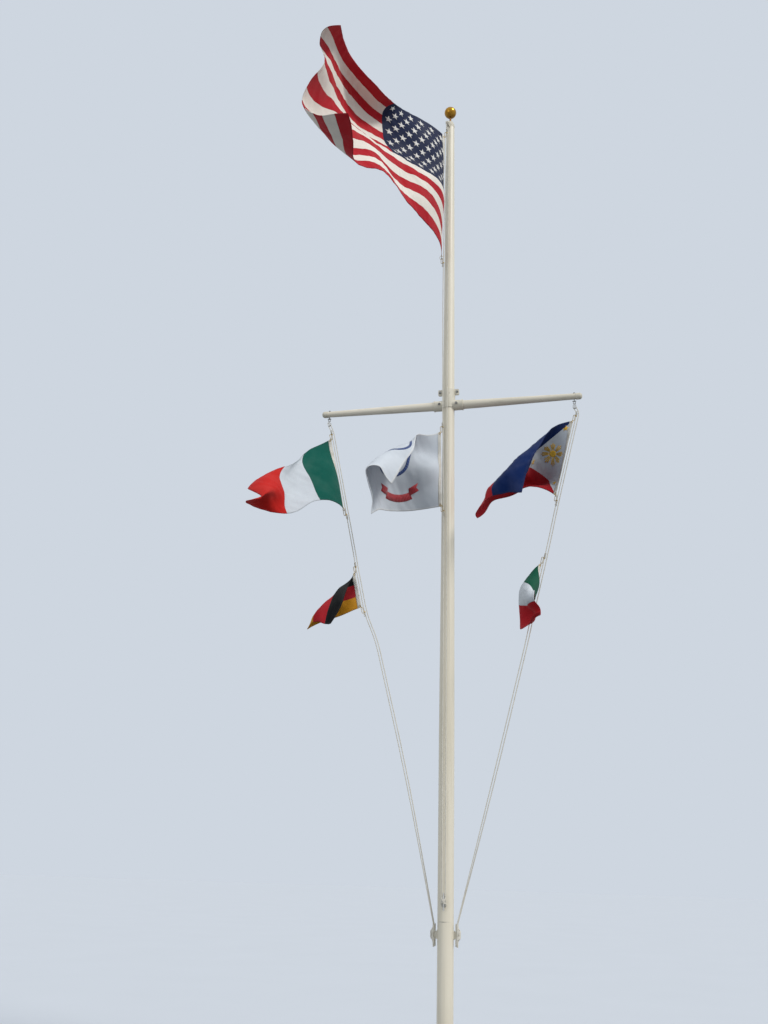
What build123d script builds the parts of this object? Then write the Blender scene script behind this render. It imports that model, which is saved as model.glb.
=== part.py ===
from build123d import *
import math
import os

os.makedirs("parts", exist_ok=True)

# Pole: straight up to where the taper starts, then one even taper to the top
pole_height = 7620
pole_foot_radius = 55
pole_top_radius = 36
pole_wall = 4
pole_floor = 12
taper_start = 2500

# Spun collar on the ground round the foot
collar_radius = 150
collar_height = 50
collar_rim = 8
collar_sheet = 2

# Cap on the pole's top, with the arm that holds the main halyard's sheave
cap_lip = 1
cap_rim_height = 14
cap_height = 62
cap_top_land = 4
spigot_depth = 40
truck_turn = 12
truck_sheave_rise = 4
truck_line_gap = 8.5
cheek_thick = 4
cheek_cover = 1

# Spindle and ball above the cap
stem_radius = 8
stem_seat = 12
stem_show = 46
ball_radius = 50.8
stem_in_ball = 20

# Lines and sheaves
line_radius = 3.5
line_clear = 0.3
line_spacing = 18
line_end_gap = 0.5
line_past_snap = 25
sheave_width = 11
sheave_side_gap = 1
sheave_flange = 2.5
groove_flare = 0.8
running_fit = 0.05
truck_turn_radius = 16
block_turn_radius = 10
truck_axle_radius = 3
block_pin_radius = 2.5
pin_head_radius = 5
pin_head_thick = 2.5

# Clamp that carries the two yardarms, in two halves that meet on the yardarms' plane
arm_height = 4992
sleeve_wall = 5
sleeve_below = 28
sleeve_above = 128
socket_wall = 6
socket_reach = 115
socket_bead = 2
socket_bead_width = 8
ear_half_height = 24
ear_half_thick = 8
ear_edge = 16
ear_round = 10
bolt_from_sleeve = 16
bolt_radius = 5
bolt_upper_rise = 112
bolt_hole_gap = 0.5
washer_radius = 10
washer_thick = 2
bolt_head_across = 16
bolt_head_thick = 7
boss_radius = 13
boss_proud = 3

# Yardarms: straight in the socket, then an even taper to the end cap
arm_tip_reach = 1033
arm_root_radius = 35
arm_tip_radius = 23.5
arm_wall = 3
arm_end_gap = 3
arm_cap_length = 48
arm_cap_skin = 2.5
arm_cap_straight = 20

# Eye bolt, shackle and block under each yardarm's tip
eye_offset = 972
eye_ring_radius = 9
eye_wire = 2.5
eye_gap = 1
eye_nut_across = 14
eye_nut_thick = 6
eye_thread_show = 3
shackle_wire = 2.5
shackle_half_width = 8
shackle_length = 24
shackle_pin_show = 4
shackle_ear = 4
lug_fit = 0.7
lug_wall = 3.8
lug_thick = 5
lug_gap = 0.45
block_cheek = 2.5
block_cover = 1.5
block_bridge = 4.5
block_throat = 1.5

# Cleats: centre heights, lengths over the horns, and how far the bar stands off
cleat_side_height = 1135
cleat_front_height = 1345
cleat_side_length = 152
cleat_front_length = 114
cleat_stand = 26
cleat_bar_radius = 8
cleat_tip_radius = 5
cleat_foot_thick = 6
cleat_foot_width = 24
cleat_neck_width = 12
cleat_foot_share = 0.37
cleat_neck_share = 0.29
cleat_corner = 5

# Spare line made up on each cleat
side_hank_share = 0.92
front_hank_share = 0.74
hank_width = 42
hank_depth = 30
hank_round = 12

# Flags and the snaps that hold them
cloth_thick = 2
hoist_gap = 14
ensign_fly = 1830
large_fly = 914
small_fly = 457
limp_fly = 540  # the small right flag hangs limp and is the longer one
snap_wire = 1.8
snap_eye_gap = 0.1
snap_eye_height = 7
snap_link_offset = 1.5
snap_link_length = 52
snap_link_radius = 6.5
snap_cloth_gap = 0.3


def pole_radius_at(height):
    share = (height - taper_start) / (pole_height - taper_start)
    return pole_foot_radius + (pole_top_radius - pole_foot_radius) * max(share, 0)


def spin(outline, axis=Axis.Z):
    return revolve(Plane.XZ * make_face(outline), axis)


def pole_outer(extra=0):
    return spin(
        Polyline(
            (0, 0),
            (pole_foot_radius + extra, 0),
            (pole_foot_radius + extra, taper_start),
            (pole_top_radius + extra, pole_height),
            (0, pole_height),
            close=True,
        )
    )


def pole_tube():
    hollow = Polyline(
        (0, pole_floor),
        (pole_foot_radius - pole_wall, pole_floor),
        (pole_foot_radius - pole_wall, taper_start),
        (pole_top_radius - pole_wall, pole_height),
        (0, pole_height),
        close=True,
    )
    return pole_outer() - spin(hollow)


def collar_profile(skin):
    # Domed outside of the collar, or its inside when a skin is taken off
    outer = collar_radius - skin
    top = collar_height - skin
    outline = Line((pole_foot_radius, 0), (outer, 0))
    outline += Line((outer, 0), (outer, collar_rim))
    outline += Spline(
        (outer, collar_rim),
        (pole_foot_radius + 0.42 * (outer - pole_foot_radius), 0.72 * top),
        (pole_foot_radius, top),
        tangents=((-0.3, 1), (-1, 0.1)),
    )
    outline += Line((pole_foot_radius, top), (pole_foot_radius, 0))
    return outline


def flash_collar():
    return spin(collar_profile(0)) - spin(collar_profile(collar_sheet))


def truck_axle_height():
    return pole_height + truck_sheave_rise


def truck_reach():
    return pole_top_radius + truck_line_gap + line_radius + truck_turn_radius


def truck_turned(shape):
    return Rot(0, 0, -90 - truck_turn) * shape


def truck_cap():
    inside = pole_top_radius - pole_wall
    rim = pole_top_radius + cap_lip
    flat = stem_radius + cap_top_land
    outline = Polyline(
        (0, pole_height - spigot_depth),
        (inside, pole_height - spigot_depth),
        (inside, pole_height),
        (rim, pole_height),
        (rim, pole_height + cap_rim_height),
    )
    outline += Spline(
        (rim, pole_height + cap_rim_height),
        (0.72 * rim, pole_height + 0.8 * cap_height),
        (flat, pole_height + cap_height),
        tangents=((0, 1), (-1, 0)),
    )
    outline += Polyline(
        (flat, pole_height + cap_height),
        (0, pole_height + cap_height),
        (0, pole_height - spigot_depth),
    )
    cap = spin(outline)
    seat_foot = pole_height + cap_height - stem_seat
    cap -= Pos(0, 0, seat_foot) * Cylinder(stem_radius, 2 * stem_seat, align=(Align.CENTER, Align.CENTER, Align.MIN))
    reach = truck_reach()
    cheek_radius = truck_turn_radius + sheave_flange + cheek_cover
    cheek = Pos(reach / 2, 0) * SlotCenterToCenter(reach, 2 * cheek_radius)
    plate = extrude(Plane.XZ * cheek, cheek_thick)
    half_slot = sheave_width / 2 + sheave_side_gap
    arm = Pos(0, -half_slot, truck_axle_height()) * plate
    arm += Pos(0, half_slot + cheek_thick, truck_axle_height()) * plate
    arm -= pole_outer(line_clear)
    arm -= Pos(0, 0, pole_height) * Cylinder(inside, 2 * spigot_depth)
    pin_room = Rot(90, 0, 0) * Cylinder(truck_axle_radius, 4 * (half_slot + cheek_thick))
    arm -= Pos(reach, 0, truck_axle_height()) * pin_room
    return truck_turned(arm) + cap


def sheave(turn_radius, pin_radius):
    rim = turn_radius + sheave_flange
    groove = line_radius + line_clear
    wheel = Cylinder(rim, sheave_width)
    wheel -= Torus(turn_radius, groove)
    mouth = Polyline(
        (turn_radius, -groove),
        (rim, -groove - groove_flare),
        (rim, groove + groove_flare),
        (turn_radius, groove),
        close=True,
    )
    wheel -= spin(mouth)
    wheel -= Cylinder(pin_radius + running_fit, sheave_width)
    return Rot(90, 0, 0) * wheel


def cross_pin(pin_radius, half_grip):
    pin = Cylinder(pin_radius, 2 * half_grip)
    for side in (-1, 1):
        head = Cylinder(pin_head_radius, pin_head_thick)
        pin += Pos(0, 0, side * (half_grip + pin_head_thick / 2)) * head
    return Rot(90, 0, 0) * pin


def truck_axle():
    half_grip = sheave_width / 2 + sheave_side_gap + cheek_thick
    pin = cross_pin(truck_axle_radius, half_grip)
    return truck_turned(Pos(truck_reach(), 0, truck_axle_height()) * pin)


def truck_sheave():
    wheel = sheave(truck_turn_radius, truck_axle_radius)
    return truck_turned(Pos(truck_reach(), 0, truck_axle_height()) * wheel)


def finial_stem():
    foot = pole_height + cap_height - stem_seat
    length = stem_seat + stem_show + stem_in_ball
    return Pos(0, 0, foot) * Cylinder(stem_radius, length, align=(Align.CENTER, Align.CENTER, Align.MIN))


def finial_ball():
    bottom = pole_height + cap_height + stem_show
    ball = Pos(0, 0, bottom + ball_radius) * Sphere(ball_radius)
    bore = Cylinder(stem_radius, 2 * stem_in_ball, align=(Align.CENTER, Align.CENTER, Align.MAX))
    return ball - Pos(0, 0, bottom + stem_in_ball) * bore


def sleeve_radius():
    return pole_radius_at(arm_height) + sleeve_wall


def bolt_offset():
    return sleeve_radius() + bolt_from_sleeve


def socket_radius():
    return arm_root_radius + socket_wall


def along_arm(shape, middle):
    return Pos(middle, 0, arm_height) * Rot(0, 90, 0) * shape


def crosstree_whole():
    low = arm_height - sleeve_below
    high = arm_height + sleeve_above
    whole = Pos(0, 0, (low + high) / 2) * Cylinder(sleeve_radius(), high - low)
    whole += along_arm(Cylinder(socket_radius(), 2 * socket_reach), 0)
    for side in (-1, 1):
        bead = Cylinder(socket_radius() + socket_bead, socket_bead_width)
        whole += along_arm(bead, side * (socket_reach - socket_bead_width / 2))
        boss = Rot(90, 0, 0) * Cylinder(boss_radius, 2 * (socket_radius() + boss_proud))
        whole += Pos(side * bolt_offset(), 0, arm_height) * boss
    ear_reach = bolt_offset() + ear_edge
    ears = Box(2 * ear_reach, 2 * ear_half_thick, 2 * ear_half_height)
    ears = fillet(ears.edges().filter_by(Axis.Y), ear_round)
    whole += Pos(0, 0, arm_height + bolt_upper_rise) * ears
    root_start = sleeve_radius() + arm_end_gap
    for side in (-1, 1):
        whole -= along_arm(Cylinder(arm_root_radius, socket_reach), side * (root_start + socket_reach / 2))
        for height in (arm_height, arm_height + bolt_upper_rise):
            hole = Rot(90, 0, 0) * Cylinder(bolt_radius + bolt_hole_gap, 4 * socket_radius())
            whole -= Pos(side * bolt_offset(), 0, height) * hole
    return whole - pole_outer()


def crosstree_half(side):
    size = 4 * socket_reach + sleeve_above
    keep = Pos(0, side * size / 2, arm_height) * Box(size, size, size)
    return crosstree_whole() & keep


def clamp_bolt(side, height, half_grip):
    bolt = Cylinder(bolt_radius, 2 * half_grip)
    hexagon = RegularPolygon(bolt_head_across / 2, 6, major_radius=False)
    for end in (-1, 1):
        bolt += Pos(0, 0, end * (half_grip + washer_thick / 2)) * Cylinder(washer_radius, washer_thick)
        head = extrude(hexagon, end * bolt_head_thick)
        bolt += Pos(0, 0, end * (half_grip + washer_thick)) * head
    return Pos(side * bolt_offset(), 0, height) * Rot(90, 0, 0) * bolt


def arm_radius_at(reach):
    share = (reach - socket_reach) / (arm_tip_reach - arm_cap_length - socket_reach)
    return arm_root_radius + (arm_tip_radius - arm_root_radius) * share


def on_side(shape, side):
    # Shapes are drawn for the right yardarm and turned half round for the left
    turned = shape if side > 0 else Rot(0, 0, 180) * shape
    return Pos(0, 0, arm_height) * turned


def yardarm(side):
    start = sleeve_radius() + arm_end_gap
    cap_start = arm_tip_reach - arm_cap_length
    end = cap_start + arm_cap_straight
    outer = Polyline(
        (start, 0),
        (start, arm_root_radius),
        (socket_reach, arm_root_radius),
        (cap_start, arm_tip_radius),
        (end, arm_tip_radius),
        (end, 0),
        close=True,
    )
    inner = Polyline(
        (start, 0),
        (start, arm_root_radius - arm_wall),
        (socket_reach, arm_root_radius - arm_wall),
        (cap_start, arm_tip_radius - arm_wall),
        (end, arm_tip_radius - arm_wall),
        (end, 0),
        close=True,
    )
    tube = spin(outer, Axis.X) - spin(inner, Axis.X)
    bolt_room = Rot(90, 0, 0) * Cylinder(bolt_radius + bolt_hole_gap, 4 * arm_root_radius)
    tube -= Pos(bolt_offset(), 0, 0) * bolt_room
    tube -= Pos(eye_offset, 0, 0) * Cylinder(eye_wire, 4 * arm_root_radius)
    return on_side(tube, side)


def yardarm_cap(side):
    start = arm_tip_reach - arm_cap_length
    seat = start + arm_cap_straight
    outer_radius = arm_tip_radius + arm_cap_skin
    round_start = seat + arm_cap_skin
    outline = Polyline(
        (seat, 0),
        (seat, arm_tip_radius),
        (start, arm_tip_radius),
        (start, outer_radius),
        (round_start, outer_radius),
    )
    outline += Spline(
        (round_start, outer_radius),
        (arm_tip_reach - 0.25 * (arm_tip_reach - round_start), 0.72 * outer_radius),
        (arm_tip_reach, 0),
        tangents=((1, 0), (0, -1)),
    )
    outline += Line((arm_tip_reach, 0), (seat, 0))
    return on_side(spin(outline, Axis.X), side)


def eye_drop():
    return arm_radius_at(eye_offset) + eye_gap + eye_wire + eye_ring_radius


def eye_bolt(side):
    arm_radius = arm_radius_at(eye_offset)
    ring = Pos(0, 0, -eye_drop()) * Rot(0, 90, 0) * Torus(eye_ring_radius, eye_wire)
    foot = eye_ring_radius - eye_drop()
    top = arm_radius + eye_gap + eye_nut_thick + eye_thread_show
    shank = Cylinder(eye_wire, top - foot, align=(Align.CENTER, Align.CENTER, Align.MIN))
    hexagon = RegularPolygon(eye_nut_across / 2, 6, major_radius=False)
    nut = Pos(0, 0, arm_radius + 0.5 * eye_gap) * extrude(hexagon, eye_nut_thick)
    return Pos(side * eye_offset, 0, arm_height) * (ring + Pos(0, 0, foot) * shank + nut)


def shackle_pin_height():
    return arm_height - eye_drop() - eye_ring_radius + eye_wire + shackle_wire


def shackle(side):
    straight = shackle_length - shackle_half_width
    path = Line((-shackle_half_width, 0), (-shackle_half_width, -straight))
    path += ThreePointArc(
        (-shackle_half_width, -straight),
        (0, -shackle_length),
        (shackle_half_width, -straight),
    )
    path += Line((shackle_half_width, -straight), (shackle_half_width, 0))
    section = Pos(-shackle_half_width, 0, 0) * Circle(shackle_wire)
    bow = sweep(section, Plane.XZ * path)
    for end in (-1, 1):
        ear = Rot(0, 90, 0) * Cylinder(shackle_ear, 2 * shackle_wire)
        bow += Pos(end * shackle_half_width, 0, 0) * ear
    bow += Rot(0, 90, 0) * Cylinder(shackle_wire, 2 * (shackle_half_width + shackle_wire + shackle_pin_show))
    return Pos(side * eye_offset, 0, shackle_pin_height()) * bow


def lug_height():
    return shackle_pin_height() - shackle_length - lug_fit + lug_gap


def block_top():
    return lug_height() - shackle_wire - lug_fit - lug_gap


def block_axle_height():
    rope_top = block_turn_radius + line_radius + block_throat
    return block_top() - block_bridge - rope_top


def block_shell(side):
    half_slot = sheave_width / 2 + sheave_side_gap
    half_thick = half_slot + block_cheek
    half_width = block_turn_radius + sheave_flange + block_cover
    top = block_top()
    bottom = block_axle_height() - half_width
    outline = Rot(0, 0, 90) * SlotOverall(top - bottom, 2 * half_width)
    shell = extrude(Plane.XZ * outline, half_thick, both=True)
    shell = Pos(0, 0, (top + bottom) / 2) * shell
    slot_top = top - block_bridge
    slot = Box(4 * half_width, 2 * half_slot, 2 * (slot_top - bottom))
    shell -= Pos(0, 0, bottom) * slot
    hole = shackle_wire + lug_fit
    lug = Rot(0, 90, 0) * Cylinder(hole + lug_wall, lug_thick)
    neck_height = lug_height() - top + block_bridge / 2
    neck = Pos(0, 0, -neck_height / 2) * Box(lug_thick, 2 * (hole + lug_wall), neck_height)
    shell += Pos(0, 0, lug_height()) * (lug + neck)
    shell -= Pos(0, 0, lug_height()) * Rot(0, 90, 0) * Cylinder(hole, 2 * lug_thick)
    shell += Pos(0, 0, block_axle_height()) * cross_pin(block_pin_radius, half_thick)
    return Pos(side * eye_offset, 0, 0) * shell


def block_sheave(side):
    wheel = sheave(block_turn_radius, block_pin_radius)
    return Pos(side * eye_offset, 0, block_axle_height()) * wheel


def cleat(turn, height, length):
    bar_out = pole_foot_radius + cleat_stand
    foot = Box(2 * cleat_foot_thick, cleat_foot_width, cleat_foot_share * length)
    foot = fillet(foot.edges().filter_by(Axis.X), cleat_corner)
    foot = Pos(pole_foot_radius, 0, 0) * foot
    neck = Box(cleat_stand, cleat_neck_width, cleat_neck_share * length)
    neck = Pos(pole_foot_radius + cleat_stand / 2, 0, 0) * neck
    outline = Polyline(
        (0, -length / 2),
        (cleat_tip_radius, -length / 2),
        (cleat_bar_radius, 0),
        (cleat_tip_radius, length / 2),
        (0, length / 2),
        close=True,
    )
    bar = Pos(bar_out, 0, 0) * spin(outline)
    whole = Pos(0, 0, height) * (foot + neck + bar)
    return Rot(0, 0, turn) * (whole - pole_outer())


def hank(turn, height, length, share):
    bundle = Box(hank_depth, hank_width, share * length)
    bundle = fillet(bundle.edges(), hank_round)
    bundle = Pos(pole_foot_radius + cleat_stand, 0, height) * bundle
    return Rot(0, 0, turn) * bundle - cleat(turn, height, length) - pole_outer()


def corner_radii(points):
    radii = []
    for before, corner, after in zip(points, points[1:], points[2:]):
        first = Vector(*corner) - Vector(*before)
        second = Vector(*after) - Vector(*corner)
        turn = math.radians(first.get_angle(second))
        radii.append(0.45 * min(first.length, second.length) / math.tan(turn / 2))
    return radii


def corner_path(points, name):
    # Straight runs joined by tangent arcs inside the corners of the route
    radii = corner_radii(points)
    print(name, "arc radii", [round(r) for r in radii])
    edges = []
    start = Vector(*points[0])
    for i, radius in enumerate(radii):
        before, corner, after = (Vector(*p) for p in points[i : i + 3])
        first = (corner - before).normalized()
        second = (after - corner).normalized()
        turn = math.radians(first.get_angle(second))
        cut = radius * math.tan(turn / 2)
        arc_start = corner - first * cut
        arc_end = corner + second * cut
        inward = (second - first).normalized()
        middle = corner + inward * (radius / math.cos(turn / 2) - radius)
        edges.append(Edge.make_line(start, arc_start))
        edges.append(Edge.make_three_point_arc(arc_start, middle, arc_end))
        start = arc_end
    edges.append(Edge.make_line(start, Vector(*points[-1])))
    return edges


def leave_point(centre, along, radius, target, side):
    # Where a line from the target touches the turn round a sheave
    gap = Vector(*target) - centre
    reach = gap.dot(along)
    distance = math.hypot(reach, gap.Z)
    lean = math.atan2(reach, -gap.Z)
    touch = lean + side * math.acos(radius / distance)
    return centre + along * (radius * math.sin(touch)) - Vector(0, 0, radius * math.cos(touch))


def halyard(name, centre, along, turn_radius, flag_leg, rear_leg):
    # One line: up past the flags, over its sheave and down beside itself
    out = leave_point(centre, along, turn_radius, flag_leg[0], 1)
    back = leave_point(centre, along, turn_radius, rear_leg[0], -1)
    top = centre + Vector(0, 0, turn_radius)
    rising = corner_path([tuple(out)] + flag_leg, name + " flag leg")
    falling = corner_path([tuple(back)] + rear_leg, name + " second leg")
    over = Edge.make_three_point_arc(out, top, back)
    path = Wire(rising + [over] + falling)
    start = Vector(*flag_leg[-1])
    section = Plane(origin=start, z_dir=Vector(*flag_leg[-2]) - start) * Circle(line_radius)
    line = sweep(section, path)
    share = line.volume / (path.length * math.pi * line_radius**2)
    print(name, "length", round(path.length), "volume share", round(share, 4))
    return line, rising


def line_place(edges, height):
    # Plane across the line where it passes a height
    for edge in edges:
        lower = edge @ 0
        upper = edge @ 1
        if min(lower.Z, upper.Z) <= height <= max(lower.Z, upper.Z):
            share = (height - lower.Z) / (upper.Z - lower.Z)
            tangent = edge % share
            rise = tangent if tangent.Z > 0 else tangent * -1
            return Plane(origin=edge @ share, x_dir=(rise.Z, 0, -rise.X), z_dir=rise)
    raise ValueError("the line does not pass this height")


def snap_reach():
    # From the line's middle to the link's
    return line_radius + snap_eye_gap + snap_wire + snap_link_radius + snap_link_offset


def snap(place, direction):
    # Eye round the line, with a link that reaches to the flag's corner
    inside = line_radius + snap_eye_gap
    eye = Cylinder(inside + 2 * snap_wire, snap_eye_height) - Cylinder(inside, snap_eye_height)
    link = SlotOverall(snap_link_length, 2 * (snap_link_radius + snap_wire))
    link -= SlotOverall(snap_link_length - 4 * snap_wire, 2 * (snap_link_radius - snap_wire))
    flat = extrude(Plane.XZ * (Rot(0, 0, 90) * link), snap_wire, both=True)
    hang = snap_link_length / 2 - snap_eye_height
    return place * (eye + Pos(-snap_reach(), 0, -direction * hang) * flat - Cylinder(inside, snap_eye_height))


def snap_drop():
    return snap_link_length - snap_eye_height - snap_link_radius - snap_wire


def snap_places(hoist, edges):
    upper = line_place(edges, hoist[0][2] + snap_drop())
    lower = line_place(edges, hoist[1][2] - snap_drop())
    return ((upper, 1), (lower, -1))


def snap_pair(hoist, edges):
    return Compound([snap(place, direction) for place, direction in snap_places(hoist, edges)])


def angle_along(values, share):
    # Smooth curve through evenly spaced values
    place = min(max(share, 0), 1) * (len(values) - 1)
    index = min(int(place), len(values) - 2)
    part = place - index
    padded = [2 * values[0] - values[1]] + list(values) + [2 * values[-1] - values[-2]]
    a, b, c, d = padded[index : index + 4]
    linear = (c - a) * part
    square = (2 * a - 5 * b + 4 * c - d) * part**2
    cube = (3 * b - a - 3 * c + d) * part**3
    return 0.5 * (2 * b + linear + square + cube)


def cloth_points(hoist, fly, headings, rises, steps=24, rows=7):
    # Each thread runs from the hoist to the fly, turning and rising as the rows say
    top = Vector(*hoist[0])
    bottom = Vector(*hoist[1])
    grid = []
    for row in range(rows):
        down = row / (rows - 1)
        turns = [angle_along(column, down) for column in zip(*headings)]
        lifts = [angle_along(column, down) for column in zip(*rises)]
        point = top + (bottom - top) * down
        thread = [point]
        for step in range(steps):
            share = (step + 0.5) / steps
            a = math.radians(angle_along(turns, share))
            b = math.radians(angle_along(lifts, share))
            move = Vector(-math.cos(b) * math.cos(a), -math.cos(b) * math.sin(a), math.sin(b))
            point = point + move * (fly / steps)
            if step % 2 == 1:
                thread.append(point)
        grid.append(thread)
    return grid


def shifted(grid, distance):
    # The same cloth moved along its own normals
    last_row = len(grid) - 1
    last_step = len(grid[0]) - 1
    moved = []
    for i, thread in enumerate(grid):
        points = []
        for j, point in enumerate(thread):
            along = thread[min(j + 1, last_step)] - thread[max(j - 1, 0)]
            down = grid[min(i + 1, last_row)][j] - grid[max(i - 1, 0)][j]
            points.append(point + along.cross(down).normalized() * distance)
        moved.append(points)
    return moved


def flag(hoist, fly, headings, rises, edges):
    grid = cloth_points(hoist, fly, headings, rises)
    front = Face.make_surface_from_array_of_points(shifted(grid, cloth_thick / 2))
    back = Face.make_surface_from_array_of_points(shifted(grid, -cloth_thick / 2))
    hems = []
    for edge in front.edges():
        partner = min(back.edges(), key=lambda other: (other.center() - edge.center()).length)
        hems.append(Face.make_surface_from_curves(edge, partner))
    cloth = Solid(Shell([front, back] + hems))
    # Each snap's link passes through the corner, so the cloth is cut clear of it there
    bite = Sphere(snap_link_radius + snap_wire + snap_cloth_gap)
    for place, direction in snap_places(hoist, edges):
        cloth -= place * Pos(-snap_reach(), 0, -direction * snap_drop()) * bite
    return cloth


def below_pole_top(x, y, drop):
    return (x, y, pole_height - drop)


def below_arms(x, y, drop):
    return (x, y, arm_height - drop)


def below_left_eye(inward, drop):
    return (inward - eye_offset, 0, arm_height - drop)


def below_right_eye(inward, drop):
    return (eye_offset - inward, 0, arm_height - drop)


def beside(hoist):
    # The line runs straight past the flag and both of its snaps
    top = Vector(*hoist[0])
    bottom = Vector(*hoist[1])
    past = (top - bottom).normalized() * (snap_drop() + line_past_snap)
    across = Vector(hoist_gap, 0, 0)
    return [tuple(top + past + across), tuple(bottom - past + across)]


def second_leg(points, end):
    # The other line of a yardarm's halyard runs beside the first
    return [(x + line_spacing, y, z) for x, y, z in points[:-1]] + [end]


# Hoist ends of each flag, the top one first
hoists = {
    "ensign": (below_pole_top(-30, -77, 145), below_pole_top(-54, -75, 1345)),
    "white": (below_arms(-46, -72, 247), below_arms(-35, -70, 857)),
    "left_top": (below_left_eye(21, 214), below_left_eye(151, 823)),
    "left_low": (below_left_eye(257, 1322), below_left_eye(319, 1600)),
    "right_top": (below_right_eye(14, 200), below_right_eye(160, 798)),
    "right_low": (below_right_eye(278, 1310), below_right_eye(345, 1577)),
}

# Headings and rises of the threads in degrees: one row per thread from the top hem to the
# bottom one, values from hoist to fly. Heading 0 flies to the left, 90 towards the viewer
ensign_headings = (
    (55, 55, 80, 75, 65, 95, 105),
    (90, 55, 35, 65, 85, 90, 80),
    (100, 55, 40, 55, 85, 90, 105),
    (115, 65, 50, 60, 65, 60, 90),
    (100, 80, 50, 70, 50, 80, 85),
    (105, 75, 70, 75, 55, 105, 85),
)
ensign_rises = (
    (15, -5, -25, -10, 10, -10, -35),
    (5, -5, 10, 5, -15, -10, -10),
    (10, -5, 10, 0, -5, -10, -5),
    (25, 0, 5, 0, -10, -20, 5),
    (20, 10, -5, 10, -25, -10, 15),
    (20, 5, 5, 10, -20, 5, 20),
)
white_headings = (
    (10, 65, 95, 65, 70, 65),
    (-10, 40, 70, 75, 90, 90),
    (60, 10, 35, 75, 85, 110),
    (15, 5, 40, 80, 95, 115),
    (-20, 0, 45, 85, 90, 90),
)
white_rises = (
    (-25, -15, -60, -50, -55, -55),
    (-15, 0, -15, -35, -40, -45),
    (-5, -10, -5, -20, -25, -30),
    (-5, -10, -5, -20, -25, -30),
    (0, -5, -10, -15, -25, -25),
)
left_top_headings = (
    (-20, 65, 80, 20, 0),
    (95, 30, 55, 85, 35),
    (95, 55, 40, 20, -15),
)
left_top_rises = (
    (-20, -40, -40, -25, -55),
    (5, -30, -40, -10, -60),
    (10, -5, -40, 5, 30),
)
left_low_headings = (
    (45, 55, 30, 15, 5),
    (-25, 35, 45, 30, 25),
    (-25, 5, 35, 45, 40),
    (-5, -5, 5, 30, 45),
    (-5, -10, -5, 5, 20),
)
left_low_rises = (
    (-65, -65, -75, -65, -55),
    (-20, -25, -80, -75, -75),
    (-25, -10, -30, -65, -100),
    (-20, -15, -15, -30, -100),
    (-15, -20, -15, -20, -35),
)
right_top_headings = (
    (-5, 50, 55, 60, 50, 40),
    (-50, 20, 50, 60, 55, 50),
    (-65, -10, 45, 45, 50, 60),
    (-65, -45, 20, 45, 55, 70),
    (-15, -25, -45, 40, 70, 50),
)
right_top_rises = (
    (-5, -40, -55, -50, -70, -75),
    (20, -15, -40, -35, -65, -115),
    (15, 10, -65, -15, -25, -115),
    (15, 5, 0, -20, -40, -75),
    (45, 20, -10, -20, -50, -30),
)
right_low_headings = (
    (25, -5, 0, 55, 95),
    (135, 40, 35, 30, 65),
    (110, 95, 90, 55, 115),
)
right_low_rises = (
    (-35, -55, -75, -90, -95),
    (-20, -20, -80, -135, 10),
    (-40, 20, -30, -150, 80),
)

shapes = {
    "pole_tube": pole_tube(),
    "flash_collar": flash_collar(),
    "truck_cap": truck_cap(),
    "truck_sheave": truck_sheave(),
    "truck_axle": truck_axle(),
    "finial_stem": finial_stem(),
    "finial_ball": finial_ball(),
    "crosstree_front": crosstree_half(-1),
    "crosstree_rear": crosstree_half(1),
}
for side, word in ((-1, "left"), (1, "right")):
    upper = arm_height + bolt_upper_rise
    shapes["crosstree_bolt_upper_" + word] = clamp_bolt(side, upper, ear_half_thick)
    shapes["crosstree_bolt_lower_" + word] = clamp_bolt(side, arm_height, socket_radius() + boss_proud)
    shapes["yardarm_" + word] = yardarm(side)
    shapes["yardarm_cap_" + word] = yardarm_cap(side)
    shapes["eye_bolt_" + word] = eye_bolt(side)
    shapes["shackle_" + word] = shackle(side)
    shapes["block_shell_" + word] = block_shell(side)
    shapes["block_sheave_" + word] = block_sheave(side)

cleats = {
    "left": (180, cleat_side_height, cleat_side_length, side_hank_share),
    "right": (0, cleat_side_height, cleat_side_length, side_hank_share),
    "front": (-90, cleat_front_height, cleat_front_length, front_hank_share),
}
for word, (turn, height, length, share) in cleats.items():
    shapes["cleat_" + word] = cleat(turn, height, length)
    shapes["hank_" + word] = hank(turn, height, length, share)

# Routes of the lines, from the sheave down to where each goes under its cleat's turns
side_end = cleat_side_height + side_hank_share * cleat_side_length / 2 + line_end_gap
front_end = cleat_front_height + front_hank_share * cleat_front_length / 2 + line_end_gap
cleat_out = pole_foot_radius + cleat_stand
past_bar = cleat_bar_radius + line_radius + 1
main_leg = beside(hoists["ensign"]) + beside(hoists["white"])
main_leg += [(-past_bar, -cleat_out, front_end)]
left_leg = beside(hoists["left_top"]) + beside(hoists["left_low"])
left_leg += [below_left_eye(432, 1852), below_left_eye(684, 2844), (-cleat_out, -past_bar, side_end)]
right_leg = beside(hoists["right_top"]) + beside(hoists["right_low"])
right_leg += [below_right_eye(400, 1876), below_right_eye(669, 2928), (cleat_out, -past_bar, side_end)]
truck_turned_by = math.radians(truck_turn)
truck_along = Vector(-math.sin(truck_turned_by), -math.cos(truck_turned_by), 0)
truck_centre = truck_along * truck_reach() + Vector(0, 0, truck_axle_height())
left_centre = Vector(-eye_offset, 0, block_axle_height())
right_centre = Vector(eye_offset, 0, block_axle_height())
to_left = Vector(-1, 0, 0)
lines = {
    "main": (truck_centre, truck_along, truck_turn_radius, main_leg, [(past_bar, -cleat_out, front_end)]),
    "left": (left_centre, to_left, block_turn_radius, left_leg, second_leg(left_leg, (-cleat_out, past_bar, side_end))),
    "right": (right_centre, to_left, block_turn_radius, right_leg, second_leg(right_leg, (cleat_out, past_bar, side_end))),
}
rising = {}
for word, route in lines.items():
    shapes["halyard_" + word], rising[word] = halyard("halyard_" + word, *route)

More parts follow.
